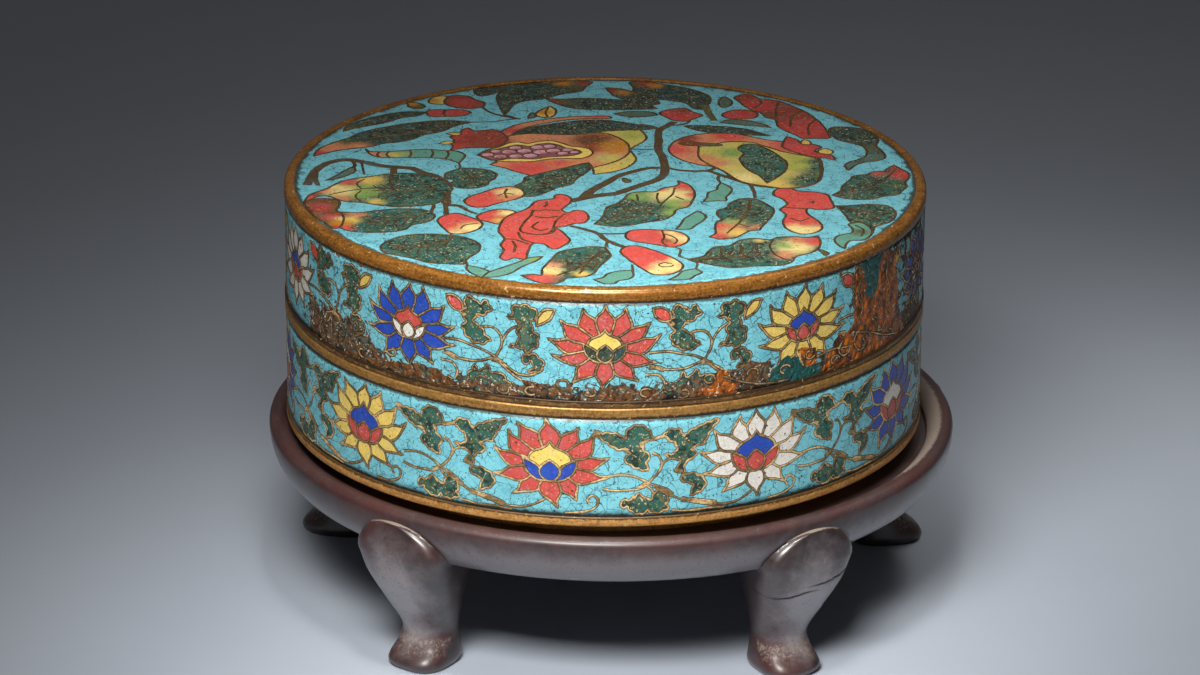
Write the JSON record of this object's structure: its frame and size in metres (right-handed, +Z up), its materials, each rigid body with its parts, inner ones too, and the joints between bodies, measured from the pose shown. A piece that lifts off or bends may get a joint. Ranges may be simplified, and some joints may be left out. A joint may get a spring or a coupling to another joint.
{
  "type": "round enamelled box on a stand",
  "caption": "Round cloisonne enamel box with a flat lift-off lid showing a pomegranate spray, lotus-scroll walls and bare metal rims, on a dark hardwood stand with cabriole legs.",
  "frame": {"origin": "on the floor under the axis of the stand", "axes": "+Z up, -Y towards the front, where the pomegranate spray stands upright, +X to the right seen from the front"},
  "size_m": [0.1316, 0.1329, 0.08],
  "materials": {
    "enamel": "turquoise cloisonne enamel with coloured cells, gloss, finely pitted and crazed",
    "gilt_copper": "worn gilt copper alloy, brown-gold with fine scratches",
    "hardwood": "dark reddish-brown hardwood, polished, worn along the edges"
  },
  "bodies": {
    "root": {"lid": "enamel", "box": "enamel", "stand_tray": "hardwood", "leg_front_left": "hardwood", "leg_front_right": "hardwood", "leg_right": "hardwood", "leg_back": "hardwood", "leg_left": "hardwood"}
  },
  "joints": []
}
